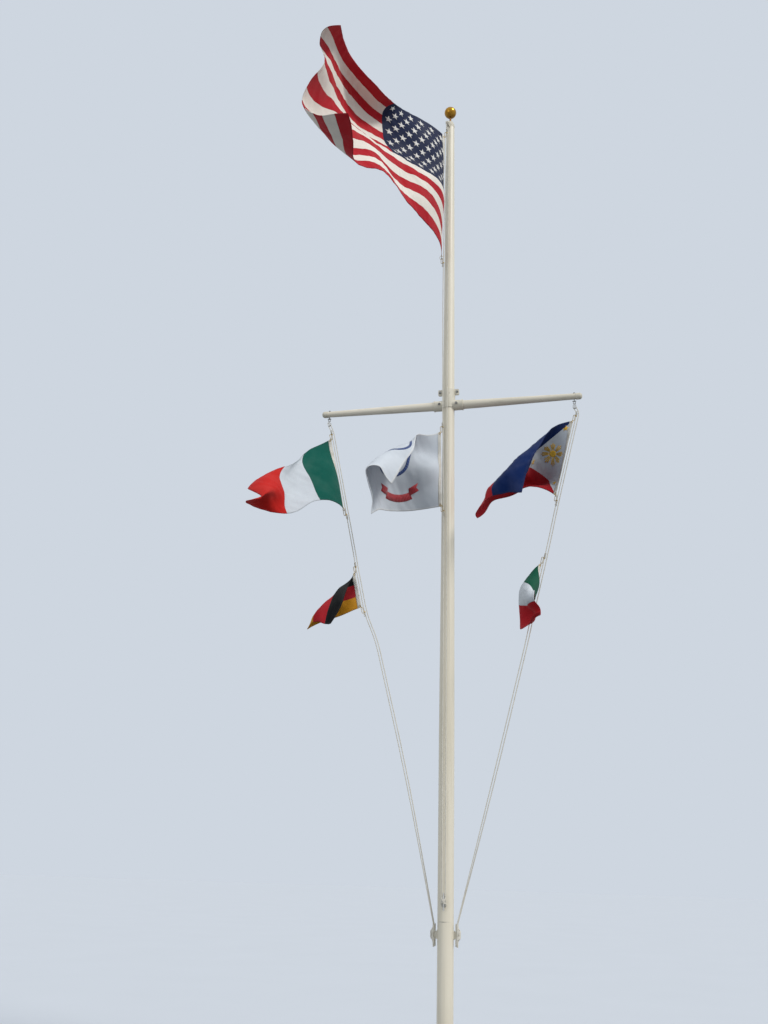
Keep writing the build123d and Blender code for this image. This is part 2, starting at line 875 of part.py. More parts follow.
flags = {
    "ensign": (ensign_fly, ensign_headings, ensign_rises, "main"),
    "white": (large_fly, white_headings, white_rises, "main"),
    "left_top": (large_fly, left_top_headings, left_top_rises, "left"),
    "left_low": (small_fly, left_low_headings, left_low_rises, "left"),
    "right_top": (large_fly, right_top_headings, right_top_rises, "right"),
    "right_low": (limp_fly, right_low_headings, right_low_rises, "right"),
}
for word, (fly, headings, rises, line) in flags.items():
    shapes["snaps_" + word] = snap_pair(hoists[word], rising[line])
    shapes["flag_" + word] = flag(hoists[word], fly, headings, rises, rising[line])

for name, shape in shapes.items():
    export_step(shape, "parts/" + name + ".step")
    print(name, "solids", len(shape.solids()), "volume", round(shape.volume))
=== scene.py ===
import math

import bpy
from mathutils import Matrix, Vector, noise


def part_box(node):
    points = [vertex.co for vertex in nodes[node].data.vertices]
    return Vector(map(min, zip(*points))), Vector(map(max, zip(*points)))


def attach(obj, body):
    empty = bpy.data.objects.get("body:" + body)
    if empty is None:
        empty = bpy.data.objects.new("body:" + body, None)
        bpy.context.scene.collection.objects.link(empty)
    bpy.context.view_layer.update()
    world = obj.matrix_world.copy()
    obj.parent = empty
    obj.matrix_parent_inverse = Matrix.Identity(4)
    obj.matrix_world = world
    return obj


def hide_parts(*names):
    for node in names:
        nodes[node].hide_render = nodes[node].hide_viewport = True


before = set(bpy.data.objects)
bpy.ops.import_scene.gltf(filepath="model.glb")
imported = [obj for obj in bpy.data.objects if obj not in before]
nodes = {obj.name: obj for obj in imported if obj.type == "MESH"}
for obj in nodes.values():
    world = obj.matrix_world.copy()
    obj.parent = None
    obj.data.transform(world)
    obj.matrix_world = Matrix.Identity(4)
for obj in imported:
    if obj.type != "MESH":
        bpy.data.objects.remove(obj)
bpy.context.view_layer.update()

# Camera, fitted to the photograph
camera_distance = 7.46
eye_height = 1.6
camera_azimuth = math.radians(10.1)
camera_aim = math.radians(3.73)
camera_pitch = math.radians(18.55)
camera_roll = math.radians(1.53)
camera_range = 300
sensor_size = 36
focal_share = 1036 / 1024

# Sizes shared with the CAD source, in metres
pole_height = 7.62
pole_foot_radius = 0.055
arm_height = 4.992
eye_offset = 0.972
line_radius = 0.0035
hoist_gap = 0.014
snap_drop = 0.0367
snap_eye_height = 0.007
cleat_stand = 0.026
cleat_side_height = 1.135
cleat_front_height = 1.345
cleat_side_length = 0.152
cleat_front_length = 0.114
side_hank_share = 0.92
front_hank_share = 0.74
ensign_fly = 1.83
large_fly = 0.914
small_fly = 0.457
limp_fly = 0.54

# Cloth, in metres
cloth_thick = 0.0012
hem_thick = 0.0024
hem_width = 0.012
header_thick = 0.0036
header_wide = 0.038
header_narrow = 0.027
header_small = 0.03
emblem_proud = 0.0009
emblem_thick = 0.0005
stitch_half_width = 0.0007
seam_half_width = 0.0012

# Patterns of the flags, as shares of the fly or counts
stripe_count = 13
canton_stripes = 7
canton_share = 0.4
canton_star_rows = 9
canton_long_row = 6
wedge_share = 0.4
emblem_share = 0.375

# Small metal and line that only the scene has, in metres
grommet_radius = 0.0075
grommet_wire = 0.0022
grommet_inset = 0.4
ring_wire = 0.0012
ring_hook = 0.0045
knot_turns = 3
knot_steps = 8
knot_rise = 0.0014
knot_reach = 0.0028
knot_gap = 0.002
knot_radius = 0.003
belay_spread = 0.0125
belay_lift = 0.0035

# Threads and turning marks, in radians a metre
rope_weave = 1300
cloth_weave = 2600
stitch_weave = 1900
canvas_weave = 1500
satin_weave = 3200
turning_marks = 3600

# A thin dark line across the pole's front and back, in metres
dark_line_height = 1.217
dark_line_half_width = 0.003

# Colours, as sRGB values from 0 to 255
pole_cream = (219, 212, 194)
pole_pale = (232, 226, 211)
pole_streak = (196, 189, 170)
pole_bright = (243, 239, 228)
pole_splash = (168, 158, 138)
# Colour of the thin dark line across the pole
pole_dark_line = (96, 96, 92)
arm_cream = (204, 198, 182)
arm_pale = (224, 218, 204)
arm_stain = (160, 152, 134)
cast_cream = (198, 193, 178)
cast_pale = (217, 212, 198)
cast_wear = (138, 132, 118)
spun_bright = (206, 205, 201)
spun_dull = (160, 157, 149)
gold_bright = (212, 158, 58)
gold_dull = (168, 116, 36)
gold_shade_under = (84, 54, 22)
line_white = (226, 223, 214)
line_shade = (198, 194, 182)
grime = (176, 171, 158)
canvas = (224, 222, 215)
canvas_shade = (150, 144, 130)
cloth_faded = (232, 228, 222)
# Darker colour that the cloth takes in random patches
cloth_dark_patch = (40, 38, 42)
cloth_slub = (60, 58, 60)
stitch_grey = (92, 88, 88)
hem_dark = (34, 32, 36)
hem_light = (250, 248, 242)
star_white = (232, 230, 226)
ensign_red = (176, 22, 36)
ensign_white = (230, 224, 216)
ensign_blue = (25, 35, 66)
tri_green = (0, 86, 74)
tri_white = (200, 207, 215)
tri_red = (192, 28, 22)
plain_white = (201, 208, 217)
rose_blue = (30, 66, 132)
band_red = (176, 28, 42)
royal_blue = (0, 33, 86)
sun_red = (172, 24, 36)
sun_gold = (238, 188, 50)
black = (14, 16, 18)
low_red = (166, 22, 34)
low_gold = (202, 140, 26)
low_green = (8, 80, 60)
floor_cool = (195, 201, 210)
floor_pale = (199, 205, 214)
floor_under = (112, 114, 116)
backdrop_blue = (206, 214, 224)

# Floor's reach from the pole in metres, and the light's strength and linear colours
floor_reach = 60
sky_strength = 0.74
sky_light = (0.93, 0.97, 1.0)
warm_light = (1.0, 0.97, 0.92)
cool_light = (0.96, 0.98, 1.0)


def smooth(low, high, value):
    share = min(max((value - low) / (high - low), 0), 1)
    return share * share * (3 - 2 * share)


def seen_directly(tree):
    # 1 where the camera sees a surface, or metal or glass reflects or shows it
    path = tree.nodes.new("ShaderNodeLightPath")
    seen = path.outputs["Is Camera Ray"]
    for name in ("Is Glossy Ray", "Is Transmission Ray"):
        either = tree.nodes.new("ShaderNodeMath")
        either.operation = "MAXIMUM"
        tree.links.new(seen, either.inputs[0])
        tree.links.new(path.outputs[name], either.inputs[1])
        seen = either.outputs[0]
    return seen


# Camera


def add_camera():
    data = bpy.data.cameras.new("camera")
    data.sensor_width = sensor_size
    data.lens = sensor_size * focal_share
    data.clip_end = camera_range
    yaw = camera_azimuth + camera_aim
    level = Vector((-math.sin(yaw), math.cos(yaw), 0))
    right = Vector((math.cos(yaw), math.sin(yaw), 0))
    upright = Vector((0, 0, 1))
    ahead = level * math.cos(camera_pitch) + upright * math.sin(camera_pitch)
    top = upright * math.cos(camera_pitch) - level * math.sin(camera_pitch)
    leaned_right = right * math.cos(camera_roll) + top * math.sin(camera_roll)
    leaned_top = top * math.cos(camera_roll) - right * math.sin(camera_roll)
    place = Vector(
        (
            camera_distance * math.sin(camera_azimuth),
            -camera_distance * math.cos(camera_azimuth),
            eye_height,
        )
    )
    camera = bpy.data.objects.new("camera", data)
    bpy.context.scene.collection.objects.link(camera)
    turn = Matrix((leaned_right, leaned_top, -ahead)).transposed()
    camera.matrix_world = Matrix.Translation(place) @ turn.to_4x4()
    bpy.context.scene.camera = camera


add_camera()


# Materials


def linear(colour):
    out = []
    for value in colour:
        share = value / 255
        out.append(share / 12.92 if share <= 0.04045 else ((share + 0.055) / 1.055) ** 2.4)
    return (*out, 1)


class Shader:
    """A new material with its principled shader, and short ways to add nodes."""

    def __init__(self, name, roughness, metallic=0.0):
        self.material = bpy.data.materials.new(name)
        self.material.use_nodes = True
        self.tree = self.material.node_tree
        self.bsdf = self.tree.nodes["Principled BSDF"]
        self.bsdf.inputs["Roughness"].default_value = roughness
        self.bsdf.inputs["Metallic"].default_value = metallic
        self.place = self.tree.nodes.new("ShaderNodeTexCoord")

    def join(self, source, target):
        # A number or colour is set on the socket, and a node's output is linked to it
        if isinstance(source, (int, float, tuple)):
            target.default_value = source
        else:
            self.tree.links.new(source, target)

    def math(self, operation, first, second=0.0, third=0.0):
        node = self.tree.nodes.new("ShaderNodeMath")
        node.operation = operation
        for socket, value in zip(node.inputs, (first, second, third)):
            self.join(value, socket)
        return node.outputs[0]

    def above(self, value, edge):
        return self.math("GREATER_THAN", value, edge)

    def below(self, value, edge):
        return self.math("LESS_THAN", value, edge)

    def times(self, first, second):
        return self.math("MULTIPLY", first, second)

    def plus(self, first, second):
        return self.math("ADD", first, second)

    def mix(self, factor, first, second):
        node = self.tree.nodes.new("ShaderNodeMix")
        node.data_type = "RGBA"
        self.join(factor, node.inputs[0])
        self.join(first, node.inputs[6])
        self.join(second, node.inputs[7])
        return node.outputs[2]

    def uv(self):
        split = self.tree.nodes.new("ShaderNodeSeparateXYZ")
        self.join(self.place.outputs["UV"], split.inputs[0])
        return split.outputs[0], split.outputs[1]

    def xyz(self):
        split = self.tree.nodes.new("ShaderNodeSeparateXYZ")
        self.join(self.place.outputs["Object"], split.inputs[0])
        return split.outputs

    def noise(self, scale, detail=3.0, stretch=(1, 1, 1), roughness=0.5):
        mapping = self.tree.nodes.new("ShaderNodeMapping")
        mapping.inputs["Scale"].default_value = stretch
        self.join(self.place.outputs["Object"], mapping.inputs[0])
        node = self.tree.nodes.new("ShaderNodeTexNoise")
        node.inputs["Scale"].default_value = scale
        node.inputs["Detail"].default_value = detail
        node.inputs["Roughness"].default_value = roughness
        self.join(mapping.outputs[0], node.inputs["Vector"])
        return node.outputs[0]

    def span(self, value, low, high, start=0.0, end=1.0):
        # The value's way from low to high, as a way from start to end
        node = self.tree.nodes.new("ShaderNodeMapRange")
        for socket, number in zip(node.inputs[1:5], (low, high, start, end)):
            socket.default_value = number
        self.join(value, node.inputs[0])
        return node.outputs[0]

    def colour(self, value):
        self.join(value, self.bsdf.inputs["Base Color"])

    def roughness(self, value):
        self.join(value, self.bsdf.inputs["Roughness"])

    def bump(self, height, distance, strength=1.0):
        node = self.tree.nodes.new("ShaderNodeBump")
        node.inputs["Strength"].default_value = strength
        node.inputs["Distance"].default_value = distance
        self.join(height, node.inputs["Height"])
        self.join(node.outputs[0], self.bsdf.inputs["Normal"])


def pole_paint():
    paint = Shader("pole_paint", 0.42)
    broad = paint.noise(1.6, 4.0, (1, 1, 0.35))
    streak = paint.noise(90, 3.0, (1, 1, 0.012))
    speck = paint.noise(260, 2.0)
    x, _, z = paint.xyz()
    tone = paint.mix(paint.span(broad, 0.35, 0.68), linear(pole_cream), linear(pole_pale))
    tone = paint.mix(paint.span(streak, 0.52, 0.72, 0, 0.55), tone, linear(pole_streak))
    tone = paint.mix(paint.span(streak, 0.3, 0.22, 0, 0.5), tone, linear(pole_bright))
    # Splashed dirt that thins out above the ground
    near_ground = paint.span(z, 0.06, 0.75, 0.75, 0.0)
    splash = paint.times(near_ground, paint.span(speck, 0.4, 0.7, 0.3, 1.0))
    tone = paint.mix(splash, tone, linear(pole_splash))
    # A thin, broken dark line across the front and back of the pole
    line_offset = paint.math("ABSOLUTE", paint.plus(z, -dark_line_height))
    broken = paint.span(paint.noise(40, 2.0), 0.35, 0.6, 0.1, 0.8)
    dark_line_mask = paint.times(paint.below(line_offset, dark_line_half_width), broken)
    dark_line_mask = paint.times(dark_line_mask, paint.span(paint.math("ABSOLUTE", x), 0.01, 0.044, 0.9, 0.0))
    tone = paint.mix(dark_line_mask, tone, linear(pole_dark_line))
    paint.colour(tone)
    paint.roughness(paint.span(broad, 0.3, 0.7, 0.36, 0.5))
    paint.bump(paint.plus(speck, paint.times(streak, 0.5)), 0.0004, 0.35)
    paint.bsdf.inputs["Coat Weight"].default_value = 0.15
    paint.bsdf.inputs["Coat Roughness"].default_value = 0.25
    return paint.material


def arm_paint():
    paint = Shader("arm_paint", 0.46)
    broad = paint.noise(3.0, 4.0, (0.4, 1, 1))
    speck = paint.noise(300, 2.0)
    stain = paint.noise(30, 4.0, (0.25, 1, 1))
    tone = paint.mix(paint.span(broad, 0.35, 0.65), linear(arm_cream), linear(arm_pale))
    tone = paint.mix(paint.span(stain, 0.56, 0.75, 0, 0.5), tone, linear(arm_stain))
    paint.colour(tone)
    paint.roughness(paint.span(stain, 0.3, 0.7, 0.4, 0.58))
    paint.bump(speck, 0.0004, 0.35)
    return paint.material


def cast_paint():
    paint = Shader("cast_paint", 0.55)
    grain = paint.noise(420, 3.0)
    broad = paint.noise(14, 4.0)
    wear = paint.noise(70, 5.0, (1, 1, 0.5), 0.65)
    tone = paint.mix(paint.span(broad, 0.3, 0.7), linear(cast_cream), linear(cast_pale))
    tone = paint.mix(paint.span(wear, 0.6, 0.72, 0, 0.7), tone, linear(cast_wear))
    paint.colour(tone)
    paint.roughness(paint.span(wear, 0.3, 0.75, 0.48, 0.7))
    paint.bump(paint.plus(grain, wear), 0.0008, 0.4)
    return paint.material


def worn_metal(name, base, dark, roughness, scale=60):
    metal = Shader(name, roughness, 1.0)
    grain = metal.noise(scale * 6, 3.0)
    patch = metal.noise(scale, 5.0, roughness=0.62)
    metal.colour(metal.mix(metal.span(patch, 0.42, 0.68), linear(base), linear(dark)))
    metal.roughness(metal.span(patch, 0.3, 0.7, roughness - 0.08, roughness + 0.16))
    metal.bump(grain, 0.0003, 0.4)
    return metal.material


def spun_metal():
    # Fine rings from the lathe
    metal = Shader("spun_aluminium", 0.34, 1.0)
    x, y, z = metal.xyz()
    reach = metal.math("SQRT", metal.plus(metal.times(x, x), metal.times(y, y)))
    rings = metal.math("SINE", metal.times(metal.plus(reach, metal.times(z, 0.6)), turning_marks))
    patch = metal.noise(24, 5.0, roughness=0.6)
    tone = metal.mix(metal.span(patch, 0.4, 0.7), linear(spun_bright), linear(spun_dull))
    metal.colour(tone)
    metal.roughness(metal.span(patch, 0.3, 0.7, 0.26, 0.48))
    metal.bump(rings, 0.0002, 0.25)
    return metal.material


def gold_metal():
    # Gold, with painted shade that makes it browner towards the underside
    metal = Shader("gold_leaf", 0.3, 1.0)
    patch = metal.noise(40, 4.0)
    fine = metal.noise(500, 2.0)
    z = metal.xyz()[2]
    low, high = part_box("finial_ball")
    # Painted shade: darkest at the ball's bottom, fading out a little above its middle
    under = metal.span(z, low[2], low[2] + 0.62 * (high[2] - low[2]), 0.8, 0.0)
    tone = metal.mix(metal.span(patch, 0.4, 0.7), linear(gold_bright), linear(gold_dull))
    metal.colour(metal.mix(under, tone, linear(gold_shade_under)))
    metal.roughness(metal.span(patch, 0.3, 0.7, 0.2, 0.36))
    metal.bump(fine, 0.0001, 0.3)
    return metal.material


def braid(name, base, shade):
    # Crossing slant threads, seen as small diamonds along the line
    rope = Shader(name, 0.8)
    x, y, z = rope.xyz()
    level = rope.plus(x, y)
    one = rope.math("SINE", rope.times(rope.plus(z, level), rope_weave))
    two = rope.math("SINE", rope.times(rope.math("SUBTRACT", z, level), rope_weave))
    weave = rope.times(one, two)
    dirt = rope.noise(25, 4.0)
    # Painted shade where the threads dip between their crossings
    tone = rope.mix(rope.span(weave, -0.6, 0.4), linear(shade), linear(base))
    tone = rope.mix(rope.span(dirt, 0.45, 0.75, 0, 0.4), tone, linear(grime))
    rope.colour(tone)
    rope.bump(weave, 0.0006, 0.6)
    rope.bsdf.inputs["Sheen Weight"].default_value = 0.2
    return rope.material


def cloth_shader(name, flag):
    # It knows its place along the fly and down the hoist, in shares
    cloth = Shader(name, 0.72)
    cloth.u, cloth.v = cloth.uv()
    cloth.fly, cloth.hoist = flag.fly, flag.hoist
    cloth.bsdf.inputs["Sheen Weight"].default_value = 0.03
    cloth.bsdf.inputs["Specular IOR Level"].default_value = 0.1
    cloth.bsdf.inputs["Sheen Roughness"].default_value = 0.5
    return cloth


def finish_cloth(cloth, tone, seams=(), hem_tone=hem_dark, hem_share=0.08):
    # Weave, sun fading, hems with two rows of stitches, and the seams between panels
    along = cloth.times(cloth.u, cloth.fly)
    down = cloth.times(cloth.v, cloth.hoist)
    warp = cloth.math("SINE", cloth.times(along, cloth_weave))
    weft = cloth.math("SINE", cloth.times(down, cloth_weave))
    weave = cloth.times(warp, weft)
    fade = cloth.noise(5, 4.0)
    slub = cloth.noise(700, 2.0, (1, 1, 0.2))
    tone = cloth.mix(cloth.span(fade, 0.42, 0.75, 0, 0.035), tone, linear(cloth_faded))
    # Darker in random patches
    tone = cloth.mix(cloth.span(fade, 0.5, 0.25, 0, 0.12), tone, linear(cloth_dark_patch))
    tone = cloth.mix(cloth.span(slub, 0.5, 0.8, 0, 0.2), tone, linear(cloth_slub))
    edge = cloth.math("MINIMUM", down, cloth.math("SUBTRACT", cloth.hoist, down))
    edge = cloth.math("MINIMUM", edge, cloth.math("SUBTRACT", cloth.fly, along))
    run = cloth.times(cloth.plus(along, down), stitch_weave)
    stitch_run = cloth.above(cloth.math("SINE", run), -0.2)
    rows = 0.0
    for place in (hem_width * 0.35, hem_width * 0.85):
        off = cloth.math("ABSOLUTE", cloth.plus(edge, -place))
        rows = cloth.plus(rows, cloth.below(off, stitch_half_width))
    for way, share in seams:
        size = cloth.fly if way == "u" else cloth.hoist
        run = along if way == "u" else down
        off = cloth.math("ABSOLUTE", cloth.plus(run, -share * size))
        near = cloth.below(off, seam_half_width)
        rows = cloth.plus(rows, near)
    stitches = cloth.times(rows, stitch_run)
    hem = cloth.below(edge, hem_width)
    tone = cloth.mix(cloth.times(hem, hem_share), tone, linear(hem_tone))
    tone = cloth.mix(cloth.times(stitches, 0.45), tone, linear(stitch_grey))
    cloth.colour(tone)
    height = cloth.plus(cloth.times(weave, 0.3), cloth.times(stitches, -1.5))
    wrinkle = cloth.noise(11, 3.0, (1, 1, 0.4))
    height = cloth.plus(height, cloth.times(wrinkle, 14))
    cloth.bump(height, 0.0005, 0.5)
    return cloth.material


def ensign_cloth(flag):
    cloth = cloth_shader("ensign_cloth", flag)
    # Just under the count, so that the last edge isn't a stripe of its own
    stripe = cloth.math("FLOOR", cloth.times(cloth.v, stripe_count - 0.0001))
    odd = cloth.math("MODULO", stripe, 2)
    tone = cloth.mix(odd, linear(ensign_red), linear(ensign_white))
    high = cloth.below(cloth.v, canton_stripes / stripe_count)
    canton = cloth.times(cloth.below(cloth.u, canton_share), high)
    tone = cloth.mix(canton, tone, linear(ensign_blue))
    seams = [("v", i / stripe_count) for i in range(1, stripe_count)] + [("u", canton_share)]
    return finish_cloth(cloth, tone, seams)


def three_bands(name, flag, way, colours):
    # Upright bands with way "u", level ones with "v"
    cloth = cloth_shader(name, flag)
    place = cloth.u if way == "u" else cloth.v
    first, second, third = (linear(colour) for colour in colours)
    tone = cloth.mix(cloth.above(place, 1 / 3), first, second)
    tone = cloth.mix(cloth.above(place, 2 / 3), tone, third)
    return finish_cloth(cloth, tone, [(way, 1 / 3), (way, 2 / 3)])


def wedge_cloth(flag):
    cloth = cloth_shader("wedge_cloth", flag)
    tone = cloth.mix(cloth.above(cloth.v, 0.5), linear(royal_blue), linear(sun_red))
    off = cloth.math("ABSOLUTE", cloth.plus(cloth.times(cloth.v, 2), -1.0))
    reach = cloth.plus(cloth.times(cloth.u, 1 / wedge_share), off)
    tone = cloth.mix(cloth.below(reach, 1.0), tone, linear(plain_white))
    return finish_cloth(cloth, tone, [("v", 0.5)])


def plain_cloth(name, flag, colour):
    cloth = cloth_shader(name, flag)
    return finish_cloth(cloth, linear(colour), (), hem_light, 0.3)


def emblem_thread(name, colour):
    # Satin stitch: fine threads side by side
    thread = Shader(name, 0.5)
    x, _, z = thread.xyz()
    slant = thread.plus(z, thread.times(x, 0.6))
    run = thread.math("SINE", thread.times(slant, satin_weave))
    patch = thread.noise(60, 3.0)
    dark = tuple(value * 0.8 for value in colour)
    patchy = thread.span(patch, 0.35, 0.7, 0, 0.6)
    thread.colour(thread.mix(patchy, linear(colour), linear(dark)))
    thread.bump(run, 0.0004, 0.5)
    thread.bsdf.inputs["Sheen Weight"].default_value = 0.3
    return thread.material


def canvas_band():
    # The header's coarse weave, with its UVs in metres
    cloth = Shader("header_canvas", 0.85)
    u, v = cloth.uv()
    warp = cloth.math("SINE", cloth.times(u, canvas_weave))
    weft = cloth.math("SINE", cloth.times(v, canvas_weave))
    weave = cloth.times(warp, weft)
    dirt = cloth.noise(18, 4.0)
    tone = cloth.mix(cloth.span(dirt, 0.42, 0.75, 0, 0.7), linear(canvas), linear(grime))
    # Painted shade in the low places of the weave
    cloth.colour(cloth.mix(cloth.span(weave, -0.8, 0.2, 0.35, 0), tone, linear(canvas_shade)))
    cloth.bump(weave, 0.0008, 0.5)
    return cloth.material


# Mesh helpers


def link_mesh(name, points, faces, material, uvs=None):
    mesh = bpy.data.meshes.new(name)
    mesh.from_pydata(points, [], faces)
    if uvs:
        layer = mesh.uv_layers.new(name="cloth")
        for loop in mesh.loops:
            layer.data[loop.index].uv = uvs[loop.vertex_index]
    mesh.shade_smooth()
    mesh.materials.append(material)
    mesh.update()
    made = bpy.data.objects.new(name, mesh)
    bpy.context.scene.collection.objects.link(made)
    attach(made, "frame")
    return made


def thicken(made, thickness, group=None, least=1.0):
    # With a group, what is outside it gets only the least share of the thickness
    shell = made.modifiers.new("thickness", "SOLIDIFY")
    shell.thickness = thickness
    shell.offset = 0
    if group:
        shell.vertex_group = group
        shell.thickness_vertex_group = least


def grid_faces(rows, columns):
    faces = []
    for i in range(rows - 1):
        for j in range(columns - 1):
            a = i * columns + j
            faces.append((a, a + 1, a + columns + 1, a + columns))
    return faces


# Cloth shapes


def angle_along(values, share):
    # A smooth curve through evenly spaced values, as part.py has it
    place = min(max(share, 0), 1) * (len(values) - 1)
    index = min(int(place), len(values) - 2)
    part = place - index
    padded = [2 * values[0] - values[1]] + list(values) + [2 * values[-1] - values[-2]]
    a, b, c, d = padded[index : index + 4]
    linear_part = (c - a) * part
    square = (2 * a - 5 * b + 4 * c - d) * part**2
    cube = (3 * b - a - 3 * c + d) * part**3
    return 0.5 * (2 * b + linear_part + square + cube)


def cloth_grid(hoist, fly, headings, rises, rows, steps):
    # Each thread runs from the hoist to the fly, turning and rising as the rows say
    top, bottom = hoist
    grid = []
    for row in range(rows + 1):
        down = row / rows
        turns = [angle_along(column, down) for column in zip(*headings)]
        lifts = [angle_along(column, down) for column in zip(*rises)]
        point = top + (bottom - top) * down
        thread = [point]
        for step in range(steps):
            share = (step + 0.5) / steps
            a = math.radians(angle_along(turns, share))
            b = math.radians(angle_along(lifts, share))
            level = math.cos(b)
            move = Vector((-level * math.cos(a), -level * math.sin(a), math.sin(b)))
            point = point + move * (fly / steps)
            thread.append(point)
        grid.append(thread)
    return grid


def grid_normals(grid):
    last_row = len(grid) - 1
    last_step = len(grid[0]) - 1
    normals = []
    for i, thread in enumerate(grid):
        row = []
        for j in range(len(thread)):
            along = thread[min(j + 1, last_step)] - thread[max(j - 1, 0)]
            down = grid[min(i + 1, last_row)][j] - grid[max(i - 1, 0)][j]
            row.append(along.cross(down).normalized())
        normals.append(row)
    return normals


def rippled(grid, fly, hoist_length, depth, seed):
    # Small creases across the cloth, none along the hoist
    normals = grid_normals(grid)
    rows = len(grid) - 1
    steps = len(grid[0]) - 1
    out = []
    for i, thread in enumerate(grid):
        row = []
        for j, point in enumerate(thread):
            along = j / steps
            down = i / rows
            ease = smooth(0.02, 0.3, along)
            x = along * fly
            y = down * hoist_length
            wave = noise.noise(Vector((x * 7 + y * 4, y * 3 - x * 1.5, seed)))
            fine = noise.noise(Vector((x * 22 + y * 12, y * 9, seed + 5)))
            row.append(point + normals[i][j] * depth * ease * (wave + 0.5 * fine))
        out.append(row)
    return out


class Cloth:
    """A flag's sheet, and the places on it."""

    def __init__(self, name, hoist, fly, headings, rises, rows, steps, ripple):
        self.name = name
        self.fly = fly
        self.top, self.bottom = hoist
        self.hoist = (self.top - self.bottom).length
        seed = len(name) + fly
        grid = cloth_grid(hoist, fly, headings, rises, rows, steps)
        self.grid = rippled(grid, fly, self.hoist, ripple, seed)
        self.normals = grid_normals(self.grid)
        self.rows = rows
        self.steps = steps

    def at(self, u, v, proud=0.0):
        x = min(max(u, 0), 1) * self.steps
        y = min(max(v, 0), 1) * self.rows
        j = min(int(x), self.steps - 1)
        i = min(int(y), self.rows - 1)
        a, b = x - j, y - i
        spot = Vector((0, 0, 0))
        normal = Vector((0, 0, 0))
        for di, wi in ((0, 1 - b), (1, b)):
            for dj, wj in ((0, 1 - a), (1, a)):
                spot += self.grid[i + di][j + dj] * (wi * wj)
                normal += self.normals[i + di][j + dj] * (wi * wj)
        return spot + normal.normalized() * proud

    def sheet(self, material):
        points = []
        uvs = []
        weights = []
        for i, thread in enumerate(self.grid):
            for j, point in enumerate(thread):
                u = j / self.steps
                v = i / self.rows
                points.append(point)
                uvs.append((u, v))
                edge = min(v * self.hoist, (1 - v) * self.hoist, (1 - u) * self.fly)
                weights.append(1.0 if edge < hem_width else 0.0)
        faces = grid_faces(self.rows + 1, self.steps + 1)
        made = link_mesh("cloth_" + self.name, points, faces, material, uvs)
        group = made.vertex_groups.new(name="hem")
        for index, weight in enumerate(weights):
            group.add([index], weight, "REPLACE")
        thicken(made, hem_thick, "hem", cloth_thick / hem_thick)
        return made

    def header(self, width, material):
        columns = 4
        points = []
        uvs = []
        for i in range(self.rows + 1):
            v = i / self.rows
            for j in range(columns + 1):
                reach = width * j / columns
                points.append(self.at(reach / self.fly, v))
                uvs.append((reach, v * self.hoist))
        faces = grid_faces(self.rows + 1, columns + 1)
        made = link_mesh("header_" + self.name, points, faces, material, uvs)
        thicken(made, header_thick)
        return made

    def patch(self, outline, centre, rings=3):
        # A shape sewn on both faces: rings of its outline, shrunk to its centre
        points = []
        faces = []
        for side in (1, -1):
            first = len(points)
            proud = side * (0.5 * cloth_thick + emblem_proud)
            u0 = centre[0] / self.fly
            v0 = centre[1] / self.hoist
            points.append(self.at(u0, v0, proud))
            count = len(outline)
            for ring in range(1, rings + 1):
                share = ring / rings
                for dx, dy in outline:
                    u = (centre[0] + dx * share) / self.fly
                    v = (centre[1] + dy * share) / self.hoist
                    points.append(self.at(u, v, proud))
            for k in range(count):
                after = (k + 1) % count
                a = first + 1 + k
                b = first + 1 + after
                faces.append((first, a, b) if side > 0 else (first, b, a))
                for ring in range(1, rings):
                    low = first + 1 + (ring - 1) * count
                    high = low + count
                    quad = (low + k, high + k, high + after, low + after)
                    faces.append(quad if side > 0 else quad[::-1])
        return points, faces

    def emblem(self, name, shapes, material):
        points = []
        faces = []
        for outline, centre, rings in shapes:
            more, around = self.patch(outline, centre, rings)
            shift = len(points)
            points += more
            faces += [tuple(index + shift for index in face) for face in around]
        made = link_mesh(name, points, faces, material)
        thicken(made, emblem_thick)
        return made


def star(points, outer, inner, turn=0.0):
    outline = []
    for k in range(2 * points):
        reach = outer if k % 2 == 0 else inner
        angle = turn + math.pi * k / points
        outline.append((reach * math.sin(angle), -reach * math.cos(angle)))
    return outline


def disc(radius):
    count = 28
    angles = [2 * math.pi * k / count for k in range(count)]
    return [(radius * math.sin(angle), -radius * math.cos(angle)) for angle in angles]


def ray(length, width, turn):
    # A tapering bar that points away from the emblem's middle
    half = length / 2
    thin, wide = width * 0.32, width * 0.5
    corners = [(-thin, half), (-wide, -half), (wide, -half), (thin, half)]
    sine, cosine = math.sin(turn), math.cos(turn)
    return [(x * cosine - y * sine, x * sine + y * cosine) for x, y in corners]


def torus_mesh(name, centre, axis, major, minor, material):
    # A ring of wire, a little flattened along its axis
    around, across = 20, 10
    axis = axis.normalized()
    side = axis.orthogonal().normalized()
    other = axis.cross(side)
    points = []
    faces = []
    for i in range(around):
        angle = 2 * math.pi * i / around
        out = side * math.cos(angle) + other * math.sin(angle)
        for j in range(across):
            turn = 2 * math.pi * j / across
            flat = 0.75 * minor * math.sin(turn)
            points.append(centre + out * (major + minor * math.cos(turn)) + axis * flat)
    for i in range(around):
        for j in range(across):
            a = i * across + j
            b = i * across + (j + 1) % across
            c = (i + 1) % around * across + (j + 1) % across
            d = (i + 1) % around * across + j
            faces.append((a, d, c, b))
    return link_mesh(name, points, faces, material)


def rope_curve(name, splines, radius, material):
    curve = bpy.data.curves.new(name, "CURVE")
    curve.dimensions = "3D"
    curve.bevel_depth = radius
    curve.bevel_resolution = 3
    curve.resolution_u = 6
    curve.use_fill_caps = True
    for points in splines:
        spline = curve.splines.new("NURBS")
        spline.points.add(len(points) - 1)
        for target, point in zip(spline.points, points):
            target.co = (*point, 1)
        spline.order_u = 3
        spline.use_endpoint_u = True
    curve.materials.append(material)
    made = bpy.data.objects.new(name, curve)
    bpy.context.scene.collection.objects.link(made)
    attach(made, "frame")
    return made


# CAD nodes that stay, with their finishes

